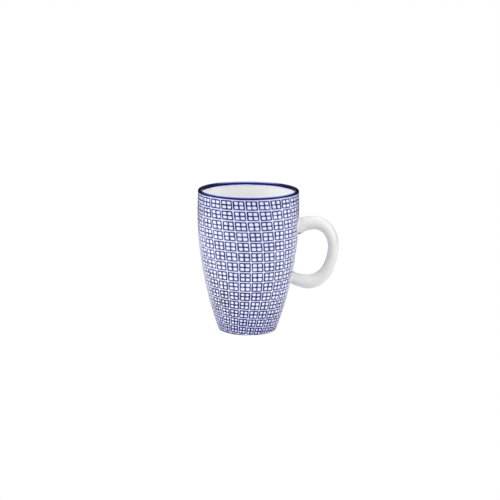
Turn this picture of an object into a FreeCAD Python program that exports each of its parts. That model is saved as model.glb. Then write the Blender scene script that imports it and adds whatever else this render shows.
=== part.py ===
"""A tall tapered mug with a printed wall, a cobalt lip and a loop handle.

Millimetres, +Z up.  The origin is on the cup's axis, in the plane of the foot,
and the handle reaches out along +X.  Every round sub-part is a profile turned
about Z; the handle is a loft through oval sections.
"""
import FreeCAD, Part
import Sketcher
import math
import os

DOC = FreeCAD.newDocument("mug")
VECTOR = FreeCAD.Vector
UP = VECTOR(0, 0, 1)

# Driving dimensions: alias, value, what it is.
DIMENSIONS = [
    ("height", 120.0, "foot plane to the top of the lip"),
    ("mouth_r", 42.5, "largest outside radius, a little below the lip"),
    ("widest_z", 102.65, "height of that largest radius"),
    ("wall_bow", 293.4, "radius of the wall's outward bow, outside"),
    ("inner_bow", 256.0, "the same inside; the smaller radius thickens the wall downward"),
    ("lip_r", 1.2, "half the thickness of the rounded lip"),
    ("floor_z", 7.0, "height of the finished floor inside"),
    ("floor_fillet", 9.0, "radius where the floor turns up into the wall"),
    ("foot_corner", 2.0, "radius from the wall onto the foot ring"),
    ("recess_r", 17.0, "flat part of the recess under the floor"),
    ("recess_depth", 1.6, "depth of that recess, and the radius of its corner"),
    ("coat", 0.35, "thickness of a full coat of glaze"),
    ("print_film", 0.10, "thickness of the transfer print fired onto the glaze"),
    ("bare_foot", 0.45, "height up to which the foot ring is wiped clean of glaze"),
    ("print_low", 1.5, "lower edge of the print"),
    ("band_outside", 118.0, "lower edge of the lip band outside"),
    ("band_inside", 117.3, "lower edge of the lip band inside"),
    ("slip_bed", 0.8, "thickness of the slip between the wall and a handle end"),
    ("slip_bead", 0.45, "how far the slip is squeezed out around a handle end"),
    ("print_gap", 1.8, "bare margin left in the print around a handle end"),
    ("root_x", 42.5, "centre of the handle's upper root"),
    ("root_z", 89.1, "height of the same"),
    ("crown_x", 55.5, "centre of the handle's highest section"),
    ("crown_z", 92.1, "height of the same"),
    ("belly_x", 71.6, "centre of the handle's outermost section"),
    ("belly_z", 72.0, "height of the same"),
    ("sole_x", 51.5, "centre of the handle's lowest section"),
    ("sole_z", 41.7, "height of the same"),
    ("tail_x", 39.5, "centre of the handle's lower root"),
    ("tail_z", 44.2, "height of the same"),
    ("root_thick", 12.6, "handle thickness, measured across the loop, at the upper root"),
    ("crown_thick", 10.4, "the same at the crown"),
    ("belly_thick", 8.4, "the same at the belly"),
    ("sole_thick", 11.0, "the same at the sole"),
    ("tail_thick", 9.2, "the same at the lower root"),
    ("grip_width", 13.0, "handle width, along Y, at the belly"),
    ("root_width", 17.4, "the same at the upper root"),
    ("tail_width", 14.4, "the same at the lower root"),
]

# Places worked out from the driving dimensions, as sheet expressions.  The wall, the
# lip and the cavity are circles that touch, so each centre follows from the last.
WALL_X = "(Dims.mouth_r - Dims.wall_bow)"
LIP_Z = "(Dims.height - Dims.lip_r)"
LIP_X = f"({WALL_X} + sqrt((Dims.wall_bow - Dims.lip_r)^2 - ({LIP_Z} - Dims.widest_z)^2))"
CAVITY_X = f"({LIP_X} - sqrt((Dims.inner_bow + Dims.lip_r)^2 - ({LIP_Z} - Dims.widest_z)^2))"
FLOOR_RISE = "(Dims.widest_z - Dims.floor_z - Dims.floor_fillet)"
FLOOR_X = f"({CAVITY_X} + sqrt((Dims.inner_bow - Dims.floor_fillet)^2 - {FLOOR_RISE}^2))"
CLAY_BOW = "(Dims.wall_bow - Dims.coat)"
FOOT_RISE = "(Dims.widest_z - Dims.foot_corner)"
FOOT_X = f"({WALL_X} + sqrt(({CLAY_BOW} - Dims.foot_corner)^2 - {FOOT_RISE}^2))"


def fill_sheet():
    sheet = DOC.addObject("Spreadsheet::Sheet", "Dims")
    for row, (alias, value, meaning) in enumerate(DIMENSIONS, start=1):
        sheet.set(f"A{row}", meaning)
        sheet.set(f"B{row}", str(value))
        sheet.setAlias(f"B{row}", alias)
    DOC.recompute()
    return sheet


SHEET = fill_sheet()


def value(expression):
    """The number that an expression of the sheet's cells comes to."""
    return float(SHEET.evalExpression(expression))


# ---------------------------------------------------------------- sketch helpers

def origin_plane(body, role):
    return next(item for item in body.Origin.OriginFeatures if item.Role == role)


def new_sketch(body, name, role):
    sketch = body.newObject("Sketcher::SketchObject", name)
    sketch.AttachmentSupport = [(origin_plane(body, role), "")]
    sketch.MapMode = "FlatFace"
    return sketch


def bind(sketch, kind, where, expression):
    """Add one dimension to the sketch and tie it to the sheet."""
    index = sketch.addConstraint(Sketcher.Constraint(kind, *where, value(expression)))
    sketch.setExpression(f"Constraints[{index}]", expression)


def point(x, z):
    return VECTOR(x, z, 0)


def line(start, end):
    return Part.LineSegment(start, end)


def arc(centre, radius, start, end):
    """The short arc of a circle that runs counterclockwise from start to end."""
    first = math.atan2(start.y - centre.y, start.x - centre.x)
    last = math.atan2(end.y - centre.y, end.x - centre.x)
    return Part.ArcOfCircle(Part.Circle(centre, UP, radius), first, last)


def touch(big_centre, big_radius, small_centre):
    """The point where a small circle touches a big one."""
    return big_centre + (small_centre - big_centre).normalize() * big_radius


def at_height(centre, radius, z):
    """The outer point of a circle at a height."""
    return point(centre.x + math.sqrt(radius ** 2 - (z - centre.y) ** 2), z)


def near_ends(sketch, one, other):
    """The end of each of two curves at which they meet."""
    for one_end in (1, 2):
        for other_end in (1, 2):
            gap = sketch.getPoint(one, one_end) - sketch.getPoint(other, other_end)
            if gap.Length < 1e-6:
                return one_end, other_end
    raise ValueError(f"{sketch.Name}: curves {one} and {other} do not meet")


def join(sketch, one, other, kind="Coincident"):
    one_end, other_end = near_ends(sketch, one, other)
    sketch.addConstraint(Sketcher.Constraint(kind, one, one_end, other, other_end))


def turn(body, sketch, name):
    """Revolve a sketch a full turn about Z."""
    feature = body.newObject("PartDesign::Revolution", name)
    feature.Profile = sketch
    feature.ReferenceAxis = (sketch, ["V_Axis"])
    feature.Angle = 360
    DOC.recompute()
    return body


def new_body(label):
    body = DOC.addObject("PartDesign::Body", label)
    body.Label = label
    return body


def place_circle(sketch, index, centre_x, centre_z, radius):
    """Fix a circle arc by its centre and radius."""
    bind(sketch, "DistanceX", (index, 3), centre_x)
    bind(sketch, "DistanceY", (index, 3), centre_z)
    bind(sketch, "Radius", (index,), radius)


# ---------------------------------------------------------------- turned pieces

def cup_body():
    """The fired clay: wall, rounded lip, floor, foot ring and the recess inside it."""
    body = new_body("cup_body")
    sketch = new_sketch(body, "cup_profile", "XZ_Plane")
    wall = point(value(WALL_X), value("Dims.widest_z"))
    lip = point(value(LIP_X), value(LIP_Z))
    cavity = point(value(CAVITY_X), value("Dims.widest_z"))
    fillet = point(value(FLOOR_X), value("Dims.floor_z + Dims.floor_fillet"))
    foot = point(value(FOOT_X), value("Dims.foot_corner"))
    clay_bow = value(CLAY_BOW)
    clay_inner = value("Dims.inner_bow + Dims.coat")
    clay_lip = value("Dims.lip_r - Dims.coat")
    clay_fillet = value("Dims.floor_fillet + Dims.coat")
    floor_z = value("Dims.floor_z - Dims.coat")
    recess_r = value("Dims.recess_r")
    recess = value("Dims.recess_depth")
    floor_end = point(fillet.x, floor_z)
    fillet_end = touch(cavity, clay_inner, fillet)
    lip_in = touch(cavity, clay_inner, lip)
    lip_out = touch(wall, clay_bow, lip)
    corner_top = touch(wall, clay_bow, foot)
    outline = [
        line(point(0, recess), point(0, floor_z)),
        line(point(0, floor_z), floor_end),
        arc(fillet, clay_fillet, floor_end, fillet_end),
        arc(cavity, clay_inner, fillet_end, lip_in),
        arc(lip, clay_lip, lip_out, lip_in),
        arc(wall, clay_bow, corner_top, lip_out),
        arc(foot, value("Dims.foot_corner"), point(foot.x, 0), corner_top),
        line(point(foot.x, 0), point(recess_r + recess, 0)),
        arc(point(recess_r, 0), recess, point(recess_r + recess, 0), point(recess_r, recess)),
        line(point(recess_r, recess), point(0, recess)),
    ]
    axis, floor, floor_arc, cavity_arc, lip_arc, wall_arc, foot_arc, ring, recess_arc, roof = range(10)
    sketch.addGeometry(outline, False)
    for one, other in ((axis, floor), (ring, recess_arc), (roof, axis)):
        join(sketch, one, other)
    smooth = (floor, floor_arc, cavity_arc, lip_arc, wall_arc, foot_arc, ring)
    for one, other in [*zip(smooth, smooth[1:]), (recess_arc, roof)]:
        join(sketch, one, other, "Tangent")
    sketch.addConstraint(Sketcher.Constraint("PointOnObject", axis, 1, -2))
    sketch.addConstraint(Sketcher.Constraint("PointOnObject", axis, 2, -2))
    sketch.addConstraint(Sketcher.Constraint("PointOnObject", ring, 1, -1))
    sketch.addConstraint(Sketcher.Constraint("PointOnObject", ring, 2, -1))
    sketch.addConstraint(Sketcher.Constraint("PointOnObject", recess_arc, 3, -1))
    sketch.addConstraint(Sketcher.Constraint("Horizontal", floor))
    sketch.addConstraint(Sketcher.Constraint("Horizontal", roof))
    place_circle(sketch, wall_arc, WALL_X, "Dims.widest_z", CLAY_BOW)
    bind(sketch, "DistanceY", (lip_arc, 3), LIP_Z)
    bind(sketch, "Radius", (lip_arc,), "Dims.lip_r - Dims.coat")
    bind(sketch, "DistanceY", (cavity_arc, 3), "Dims.widest_z")
    bind(sketch, "Radius", (cavity_arc,), "Dims.inner_bow + Dims.coat")
    bind(sketch, "Radius", (floor_arc,), "Dims.floor_fillet + Dims.coat")
    bind(sketch, "DistanceY", (floor, 2), "Dims.floor_z - Dims.coat")
    bind(sketch, "Radius", (foot_arc,), "Dims.foot_corner")
    bind(sketch, "DistanceX", (recess_arc, 3), "Dims.recess_r")
    bind(sketch, "Radius", (recess_arc,), "Dims.recess_depth")
    return turn(body, sketch, "cup_turned")


def liner_glaze():
    """The coat inside the cup, from the middle of the floor up to the lip band."""
    body = new_body("liner_glaze")
    sketch = new_sketch(body, "liner_profile", "XZ_Plane")
    top = value("Dims.band_inside")
    cavity = point(value(CAVITY_X), value("Dims.widest_z"))
    fillet = point(value(FLOOR_X), value("Dims.floor_z + Dims.floor_fillet"))
    faces = []
    for extra in ("0", "Dims.coat"):
        bow = value(f"Dims.inner_bow + {extra}")
        radius = value(f"Dims.floor_fillet + {extra}")
        floor_z = value(f"Dims.floor_z - {extra}")
        turn_up = touch(cavity, bow, fillet)
        faces.append([
            line(point(0, floor_z), point(fillet.x, floor_z)),
            arc(fillet, radius, point(fillet.x, floor_z), turn_up),
            arc(cavity, bow, turn_up, at_height(cavity, bow, top)),
        ])
    ends = [
        line(point(0, value("Dims.floor_z - Dims.coat")), point(0, value("Dims.floor_z"))),
        line(faces[0][2].EndPoint, faces[1][2].EndPoint),
    ]
    sketch.addGeometry(faces[0] + faces[1] + ends, False)
    axis, rim = 6, 7
    for first, extra in ((0, "0"), (3, "Dims.coat")):
        floor, floor_arc, cavity_arc = first, first + 1, first + 2
        join(sketch, axis, floor)
        join(sketch, cavity_arc, rim)
        join(sketch, floor, floor_arc, "Tangent")
        join(sketch, floor_arc, cavity_arc, "Tangent")
        sketch.addConstraint(Sketcher.Constraint("PointOnObject", floor, 1, -2))
        sketch.addConstraint(Sketcher.Constraint("Horizontal", floor))
        bind(sketch, "DistanceY", (floor, 2), f"Dims.floor_z - {extra}")
        bind(sketch, "Radius", (floor_arc,), f"Dims.floor_fillet + {extra}")
        place_circle(sketch, cavity_arc, CAVITY_X, "Dims.widest_z", f"Dims.inner_bow + {extra}")
    sketch.addConstraint(Sketcher.Constraint("Horizontal", rim))
    bind(sketch, "DistanceY", (2, 2), "Dims.band_inside")
    return turn(body, sketch, "liner_turned")


def rim_band():
    """The cobalt band: a cap over the lip that comes a little way down both sides."""
    body = new_body("rim_band")
    sketch = new_sketch(body, "band_profile", "XZ_Plane")
    wall = point(value(WALL_X), value("Dims.widest_z"))
    lip = point(value(LIP_X), value(LIP_Z))
    cavity = point(value(CAVITY_X), value("Dims.widest_z"))
    outside, inside = value("Dims.band_outside"), value("Dims.band_inside")
    faces = []
    for extra in ("0", "Dims.coat"):
        wall_bow = value(f"Dims.wall_bow - {extra}")
        inner_bow = value(f"Dims.inner_bow + {extra}")
        lip_out = touch(wall, wall_bow, lip)
        lip_in = touch(cavity, inner_bow, lip)
        faces.append([
            arc(wall, wall_bow, at_height(wall, wall_bow, outside), lip_out),
            arc(lip, value(f"Dims.lip_r - {extra}"), lip_out, lip_in),
            arc(cavity, inner_bow, at_height(cavity, inner_bow, inside), lip_in),
        ])
    ends = [
        line(faces[0][0].StartPoint, faces[1][0].StartPoint),
        line(faces[0][2].StartPoint, faces[1][2].StartPoint),
    ]
    sketch.addGeometry(faces[0] + faces[1] + ends, False)
    outer_end, inner_end = 6, 7
    for first, extra in ((0, "0"), (3, "Dims.coat")):
        wall_arc, lip_arc, cavity_arc = first, first + 1, first + 2
        join(sketch, wall_arc, outer_end)
        join(sketch, cavity_arc, inner_end)
        join(sketch, wall_arc, lip_arc, "Tangent")
        join(sketch, lip_arc, cavity_arc, "Tangent")
        place_circle(sketch, wall_arc, WALL_X, "Dims.widest_z", f"Dims.wall_bow - {extra}")
        bind(sketch, "DistanceY", (lip_arc, 3), LIP_Z)
        bind(sketch, "Radius", (lip_arc,), f"Dims.lip_r - {extra}")
        bind(sketch, "DistanceY", (cavity_arc, 3), "Dims.widest_z")
        bind(sketch, "Radius", (cavity_arc,), f"Dims.inner_bow + {extra}")
    sketch.addConstraint(Sketcher.Constraint("Horizontal", outer_end))
    sketch.addConstraint(Sketcher.Constraint("Horizontal", inner_end))
    bind(sketch, "DistanceY", (0, 1), "Dims.band_outside")
    bind(sketch, "DistanceY", (2, 1), "Dims.band_inside")
    return turn(body, sketch, "band_turned")


def glaze_jacket():
    """The clear coat outside, from the wiped foot up to the lip band, before it is
    opened for the handle."""
    body = new_body("glaze_jacket")
    sketch = new_sketch(body, "jacket_profile", "XZ_Plane")
    wall = point(value(WALL_X), value("Dims.widest_z"))
    foot = point(value(FOOT_X), value("Dims.foot_corner"))
    top, low = value("Dims.band_outside"), value("Dims.bare_foot")
    skins = (
        ("Dims.wall_bow - Dims.print_film", "Dims.foot_corner + Dims.coat - Dims.print_film"),
        (CLAY_BOW, "Dims.foot_corner"),
    )
    faces = []
    for bow, corner in skins:
        bend = touch(wall, value(bow), foot)
        faces.append([
            arc(wall, value(bow), bend, at_height(wall, value(bow), top)),
            arc(foot, value(corner), at_height(foot, value(corner), low), bend),
        ])
    ends = [
        line(faces[0][0].EndPoint, faces[1][0].EndPoint),
        line(faces[0][1].StartPoint, faces[1][1].StartPoint),
    ]
    sketch.addGeometry(faces[0] + faces[1] + ends, False)
    upper_end, lower_end = 4, 5
    for first, (bow, corner) in zip((0, 2), skins):
        wall_arc, foot_arc = first, first + 1
        join(sketch, wall_arc, upper_end)
        join(sketch, foot_arc, lower_end)
        join(sketch, wall_arc, foot_arc, "Tangent")
        place_circle(sketch, wall_arc, WALL_X, "Dims.widest_z", bow)
        bind(sketch, "DistanceY", (foot_arc, 3), "Dims.foot_corner")
        bind(sketch, "Radius", (foot_arc,), corner)
    sketch.addConstraint(Sketcher.Constraint("Horizontal", upper_end))
    sketch.addConstraint(Sketcher.Constraint("Horizontal", lower_end))
    bind(sketch, "DistanceY", (0, 2), "Dims.band_outside")
    bind(sketch, "DistanceY", (1, 1), "Dims.bare_foot")
    return turn(body, sketch, "jacket_turned")


def print_sheet():
    """The transfer print as one thin film round the wall, before it is opened."""
    body = new_body("print_sheet")
    sketch = new_sketch(body, "print_profile", "XZ_Plane")
    wall = point(value(WALL_X), value("Dims.widest_z"))
    top, low = value("Dims.band_outside"), value("Dims.print_low")
    bows = ("Dims.wall_bow", "Dims.wall_bow - Dims.print_film")
    arcs = []
    for bow in bows:
        radius = value(bow)
        arcs.append(arc(wall, radius, at_height(wall, radius, low), at_height(wall, radius, top)))
    ends = [
        line(arcs[0].StartPoint, arcs[1].StartPoint),
        line(arcs[0].EndPoint, arcs[1].EndPoint),
    ]
    sketch.addGeometry(arcs + ends, False)
    for index, bow in enumerate(bows):
        join(sketch, index, 2)
        join(sketch, index, 3)
        place_circle(sketch, index, WALL_X, "Dims.widest_z", bow)
    sketch.addConstraint(Sketcher.Constraint("Horizontal", 2))
    sketch.addConstraint(Sketcher.Constraint("Horizontal", 3))
    bind(sketch, "DistanceY", (0, 1), "Dims.print_low")
    bind(sketch, "DistanceY", (0, 2), "Dims.band_outside")
    return turn(body, sketch, "print_turned")


def base_glaze():
    """The coat in the recess under the floor, down to the wiped foot ring."""
    body = new_body("base_glaze")
    sketch = new_sketch(body, "base_profile", "XZ_Plane")
    recess_r, low = value("Dims.recess_r"), value("Dims.bare_foot")
    centre = point(recess_r, 0)
    depths = ("Dims.recess_depth - Dims.coat", "Dims.recess_depth")
    pieces = []
    for depth in depths:
        radius = value(depth)
        pieces.append(line(point(0, radius), point(recess_r, radius)))
        pieces.append(arc(centre, radius, at_height(centre, radius, low), point(recess_r, radius)))
    pieces.append(line(pieces[0].StartPoint, pieces[2].StartPoint))
    pieces.append(line(pieces[1].StartPoint, pieces[3].StartPoint))
    sketch.addGeometry(pieces, False)
    axis, edge = 4, 5
    for roof, depth in zip((0, 2), depths):
        corner = roof + 1
        join(sketch, axis, roof)
        join(sketch, corner, edge)
        join(sketch, roof, corner, "Tangent")
        sketch.addConstraint(Sketcher.Constraint("PointOnObject", roof, 1, -2))
        sketch.addConstraint(Sketcher.Constraint("Horizontal", roof))
        sketch.addConstraint(Sketcher.Constraint("PointOnObject", corner, 3, -1))
        bind(sketch, "DistanceX", (corner, 3), "Dims.recess_r")
        bind(sketch, "Radius", (corner,), depth)
    sketch.addConstraint(Sketcher.Constraint("Horizontal", edge))
    bind(sketch, "DistanceY", (1, 1), "Dims.bare_foot")
    return turn(body, sketch, "base_turned")


def wall_plug(label, reach, low, high):
    """A solid turned block that fills the cup out to the clay wall plus a reach."""
    body = new_body(label)
    sketch = new_sketch(body, label + "_profile", "XZ_Plane")
    wall = point(value(WALL_X), value("Dims.widest_z"))
    bow = f"{CLAY_BOW} + {reach}"
    bottom = at_height(wall, value(bow), value(low))
    top = at_height(wall, value(bow), value(high))
    sketch.addGeometry([
        line(point(0, bottom.y), bottom),
        arc(wall, value(bow), bottom, top),
        line(top, point(0, top.y)),
        line(point(0, top.y), point(0, bottom.y)),
    ], False)
    for one, other in ((0, 1), (1, 2), (2, 3), (3, 0)):
        join(sketch, one, other)
    sketch.addConstraint(Sketcher.Constraint("Horizontal", 0))
    sketch.addConstraint(Sketcher.Constraint("Horizontal", 2))
    sketch.addConstraint(Sketcher.Constraint("PointOnObject", 3, 1, -2))
    sketch.addConstraint(Sketcher.Constraint("PointOnObject", 3, 2, -2))
    place_circle(sketch, 1, WALL_X, "Dims.widest_z", bow)
    bind(sketch, "DistanceY", (1, 1), low)
    bind(sketch, "DistanceY", (1, 2), high)
    return turn(body, sketch, label + "_turned")


# ---------------------------------------------------------------- the handle

THINNING = 2.5             # how soon a bend thins: the power of the cosine it follows


def bend(level_x, level_z, level_thick, side, degrees):
    """An oval on the quarter ellipse between the belly, at 90 degrees, and the level
    section above it (side 1) or below it (side -1), at 0 degrees."""
    across = f"(Dims.belly_x - {level_x})"
    rise = f"({level_z} - Dims.belly_z)"
    swing = f"atan2({side} * {rise} * sin({degrees} deg); {across} * cos({degrees} deg)) / 1 deg"
    return (
        f"{level_x} + {across} * sin({degrees} deg)",
        f"Dims.belly_z + {rise} * cos({degrees} deg)",
        f"{180 - 90 * side} + {side} * {swing}",
        f"Dims.belly_thick + ({level_thick} - Dims.belly_thick) * cos({degrees} deg) ^ {THINNING}",
        "Dims.grip_width",
    )


def root_stations():
    """The upper root: it starts inside the wall, flared, and thins towards the crown."""
    run = "(Dims.crown_x - Dims.root_x)"
    drop = "(Dims.crown_z - Dims.root_z)"
    flare = "(Dims.root_thick - Dims.crown_thick)"
    spread = "(Dims.root_width - Dims.grip_width)"
    stations = []
    for share, lean in ((-0.4, 6), (0, 10), (0.35, 7), (0.68, 3)):
        left = f"(1 - {max(share, -0.05)})^2"
        stations.append((
            f"Dims.root_x + {share} * {run}",
            f"Dims.crown_z - {left} * {drop}",
            f"90 - {lean}",
            f"Dims.crown_thick + {left} * {flare}",
            f"Dims.grip_width + {left} * {spread}",
        ))
    return stations


def tail_stations():
    """The lower root: one arc up from the sole to the wall, then on inside the clay."""
    rise = "(Dims.tail_z - Dims.sole_z)"
    back = "(Dims.sole_x - Dims.tail_x)"
    slope = f"(2 * atan({rise} / {back}))"
    inside = "Dims.tail_thick / 2"
    halfway = (
        f"Dims.sole_x - {back} / 2",
        f"Dims.sole_z + {rise} / 4",
        f"270 + {slope} / 2 deg",
        "(Dims.sole_thick + Dims.tail_thick) / 2",
        "(Dims.grip_width + Dims.tail_width) / 2",
    )
    ends = []
    for beyond in ("0", inside):
        ends.append((
            f"Dims.tail_x - {beyond} * cos({slope})",
            f"Dims.tail_z + {beyond} * sin({slope})",
            f"270 + {slope} / 1 deg",
            "Dims.tail_thick",
            "Dims.tail_width",
        ))
    return [halfway, *ends]


def handle_stations():
    """The handle's ovals in order round the loop.  Each is x, z, tilt about Y,
    thickness across the loop and width along Y."""
    crown = ("Dims.crown_x", "Dims.crown_z", "Dims.crown_thick", 1)
    sole = ("Dims.sole_x", "Dims.sole_z", "Dims.sole_thick", -1)
    upper = [bend(*crown, degrees) for degrees in (0, 30, 60, 90)]
    lower = [bend(*sole, degrees) for degrees in (62, 32, 0)]
    return root_stations() + upper + lower + tail_stations()


def oval_section(body, name, station, growth):
    """One oval of the handle, its long way along Y, grown all round by growth."""
    x, z, tilt, thick, width = station
    thick, width = f"{thick} + 2 * {growth}", f"{width} + 2 * {growth}"
    sketch = new_sketch(body, name, "XY_Plane")
    sketch.AttachmentOffset = FreeCAD.Placement(
        VECTOR(value(x), 0, value(z)), FreeCAD.Rotation(VECTOR(0, 1, 0), value(tilt)))
    sketch.setExpression("AttachmentOffset.Base.x", x)
    sketch.setExpression("AttachmentOffset.Base.z", z)
    sketch.setExpression("AttachmentOffset.Rotation.Angle", tilt)
    long_end, short_end = VECTOR(0, value(width) / 2, 0), VECTOR(value(thick) / 2, 0, 0)
    sketch.addGeometry(Part.Ellipse(long_end, short_end, VECTOR(0, 0, 0)), False)
    sketch.exposeInternalGeometry(0)
    sketch.addConstraint(Sketcher.Constraint("Coincident", 0, 3, -1, 1))
    sketch.addConstraint(Sketcher.Constraint("Vertical", 1))
    bind(sketch, "Distance", (1,), width)
    bind(sketch, "Distance", (2,), thick)
    return sketch


def handle_loft(label, growth):
    """The whole loop, ends and all, grown all round by growth."""
    body = new_body(label)
    sections = []
    for number, station in enumerate(handle_stations()):
        sections.append(oval_section(body, f"{label}_section_{number:02d}", station, growth))
    DOC.recompute()
    loft = body.newObject("PartDesign::AdditiveLoft", label + "_loft")
    loft.Profile = sections[0]
    loft.Sections = sections[1:]
    DOC.recompute()
    return body


def combine(kind, label, first, second):
    """A Part::Cut, Part::Fuse or Part::Common of two objects."""
    result = DOC.addObject("Part::" + kind, label)
    result.Label = label
    result.Base, result.Tool = first, second
    DOC.recompute()
    return result


def build_mug():
    """Make every sub-part and return those that the mug is assembled from."""
    clay_plug = wall_plug("clay_plug", "0", "Dims.print_low", "Dims.band_outside")
    slip_plug = wall_plug("slip_plug", "Dims.slip_bed", "Dims.print_low", "Dims.band_outside")
    skin_plug = wall_plug("skin_plug", "Dims.slip_bed + Dims.coat",
                          "Dims.print_low", "Dims.band_outside")
    upper_half = wall_plug("upper_half", "Dims.slip_bed", "Dims.belly_z", "Dims.band_outside")

    # Handle and slip: the loop stops short of the wall by the bed of slip.
    loop = handle_loft("loop", "0")
    beaded_loop = handle_loft("beaded_loop", "Dims.slip_bead")
    handle = combine("Cut", "handle", loop, slip_plug)
    slip_shell = combine("Cut", "slip_shell", slip_plug, clay_plug)
    slip = combine("Common", "slip", slip_shell, beaded_loop)
    upper_slip = combine("Common", "upper_slip_joint", slip, upper_half)
    lower_slip = combine("Cut", "lower_slip_joint", slip, upper_half)

    # The handle's own coat runs over the loop and the slip bead, down to the clay wall.
    coated_loop = handle_loft("coated_loop", "Dims.coat")
    coated_bead_loop = handle_loft("coated_bead_loop", "(Dims.slip_bead + Dims.coat)")
    coated_bead = combine("Common", "coated_bead", coated_bead_loop, skin_plug)
    coated = combine("Fuse", "coated_handle", coated_loop, coated_bead)
    coat_only = combine("Cut", "coat_only", coated, combine("Fuse", "bare_handle", handle, slip))
    handle_glaze = combine("Cut", "handle_glaze", coat_only, clay_plug)

    # The wall's coat and print are opened for the handle's ends.
    outer_glaze = combine("Cut", "outer_glaze", glaze_jacket(), coated)
    opening = handle_loft("print_opening", "Dims.print_gap")
    window_print = combine("Cut", "window_print", print_sheet(), opening)

    return [cup_body(), handle, upper_slip, lower_slip, liner_glaze(), outer_glaze,
            window_print, rim_band(), handle_glaze, base_glaze()]


def check(sub_parts):
    """Stop if anything in the document failed or a sub-part is not a sound solid."""
    DOC.recompute()
    for item in DOC.Objects:
        if {"Invalid", "Error"} & set(item.State):
            raise RuntimeError(f"{item.Label} did not recompute")
    for item in sub_parts:
        shape = item.Shape
        if shape.isNull() or not shape.isValid() or len(shape.Solids) != 1:
            raise RuntimeError(f"{item.Label} is not one sound solid")


def export(sub_parts):
    os.makedirs("parts", exist_ok=True)
    for item in sub_parts:
        item.Shape.exportStep(os.path.join("parts", item.Label + ".step"))
        print(f"{item.Label}: {item.Shape.Volume:.1f} mm3")


SUB_PARTS = build_mug()
check(SUB_PARTS)
export(SUB_PARTS)
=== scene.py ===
"""Looks for a tall glazed mug: a window-pane print, a cobalt lip and a loop handle.

Shapes are worked out in millimetres in the CAD frame (+Z up, the handle along +X)
and turned into metres when a mesh is made.  Angles round the cup are in degrees
from its front, -Y, and grow towards the handle, +X.
"""
import math

import bmesh
import bpy
import numpy as np
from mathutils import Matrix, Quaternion, Vector
from mathutils.bvhtree import BVHTree


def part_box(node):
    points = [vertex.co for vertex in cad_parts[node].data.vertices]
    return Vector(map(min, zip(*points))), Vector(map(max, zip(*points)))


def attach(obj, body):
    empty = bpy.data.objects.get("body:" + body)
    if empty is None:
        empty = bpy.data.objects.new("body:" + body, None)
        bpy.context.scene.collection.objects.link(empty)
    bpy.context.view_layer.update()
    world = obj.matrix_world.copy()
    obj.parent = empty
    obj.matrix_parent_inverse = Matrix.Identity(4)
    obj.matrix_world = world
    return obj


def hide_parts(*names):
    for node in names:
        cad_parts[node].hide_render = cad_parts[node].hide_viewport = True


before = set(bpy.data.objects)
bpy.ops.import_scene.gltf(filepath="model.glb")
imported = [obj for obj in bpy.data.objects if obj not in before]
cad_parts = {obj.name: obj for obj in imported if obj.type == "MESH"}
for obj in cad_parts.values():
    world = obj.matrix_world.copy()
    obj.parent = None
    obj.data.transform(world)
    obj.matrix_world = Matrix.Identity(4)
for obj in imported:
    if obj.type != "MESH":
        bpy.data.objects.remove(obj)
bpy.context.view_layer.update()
MM = 0.001
DRAWS = np.random.default_rng(24)

# ------------------------ sizes of the cup

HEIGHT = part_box("rim_band")[1].z / MM
MOUTH_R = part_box("window_print")[1].x / MM
BAND_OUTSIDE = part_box("window_print")[1].z / MM
BAND_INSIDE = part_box("liner_glaze")[1].z / MM
BARE_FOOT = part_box("outer_glaze")[0].z / MM
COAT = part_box("handle_glaze")[1].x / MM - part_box("handle")[1].x / MM
FLOOR_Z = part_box("liner_glaze")[0].z / MM + COAT
WIDEST_Z = 102.65
WALL_BOW = 293.4
INNER_BOW = 256.0
LIP_R = 1.2
FLOOR_FILLET = 9.0
FOOT_CORNER = 2.0
RECESS_R = 17.0
RECESS_DEPTH = 1.6
GLAZE_DROP = 0.10  # the wall's white glaze lies this far under the ink's face
WASH_DROP = 0.04  # and the pale wash this far
INK_THICK = 0.06
BAND_PROUD = 0.20  # the lip band stands this far over the ink's face
KEYED = 0.05  # each coat reaches this far into what it is fired onto
LAP = 0.6  # how far the white coats run up under the lip band

WALL_X = MOUTH_R - WALL_BOW
LIP_Z = HEIGHT - LIP_R
LIP_X = WALL_X + math.sqrt((WALL_BOW - LIP_R) ** 2 - (LIP_Z - WIDEST_Z) ** 2)
CAVITY_X = LIP_X - math.sqrt((INNER_BOW + LIP_R) ** 2 - (LIP_Z - WIDEST_Z) ** 2)
FILLET_Z = FLOOR_Z + FLOOR_FILLET
FILLET_X = CAVITY_X + math.sqrt((INNER_BOW - FLOOR_FILLET) ** 2 - (WIDEST_Z - FILLET_Z) ** 2)
FOOT_X = WALL_X + math.sqrt((WALL_BOW - COAT - FOOT_CORNER) ** 2 - (WIDEST_Z - FOOT_CORNER) ** 2)

# Angles, in degrees, at which the outline's small arcs run into its two long bows.
LIP_OUT = math.degrees(math.atan2(LIP_Z - WIDEST_Z, LIP_X - WALL_X))
LIP_IN = math.degrees(math.atan2(LIP_Z - WIDEST_Z, LIP_X - CAVITY_X)) + 180
FOOT_END = math.degrees(math.atan2(FOOT_CORNER - WIDEST_Z, FOOT_X - WALL_X))
FILLET_END = math.degrees(math.atan2(FILLET_Z - WIDEST_Z, FILLET_X - CAVITY_X))


def corner_z(drop=0.0):
    """Height at which the wall's bow turns into the foot's rounded corner."""
    reach = math.hypot(FOOT_X - WALL_X, WIDEST_Z - FOOT_CORNER)
    return FOOT_CORNER - (FOOT_CORNER + COAT - drop) * (WIDEST_Z - FOOT_CORNER) / reach


def wall_r(z, drop=0.0):
    """Outside radius of the wall at a height, or of a surface that far under it."""
    bow = WALL_X + np.sqrt((WALL_BOW - drop) ** 2 - (z - WIDEST_Z) ** 2)
    corner = (FOOT_CORNER + COAT - drop) ** 2 - (z - FOOT_CORNER) ** 2
    return np.where(z < corner_z(drop), FOOT_X + np.sqrt(np.maximum(corner, 0)), bow)


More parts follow.
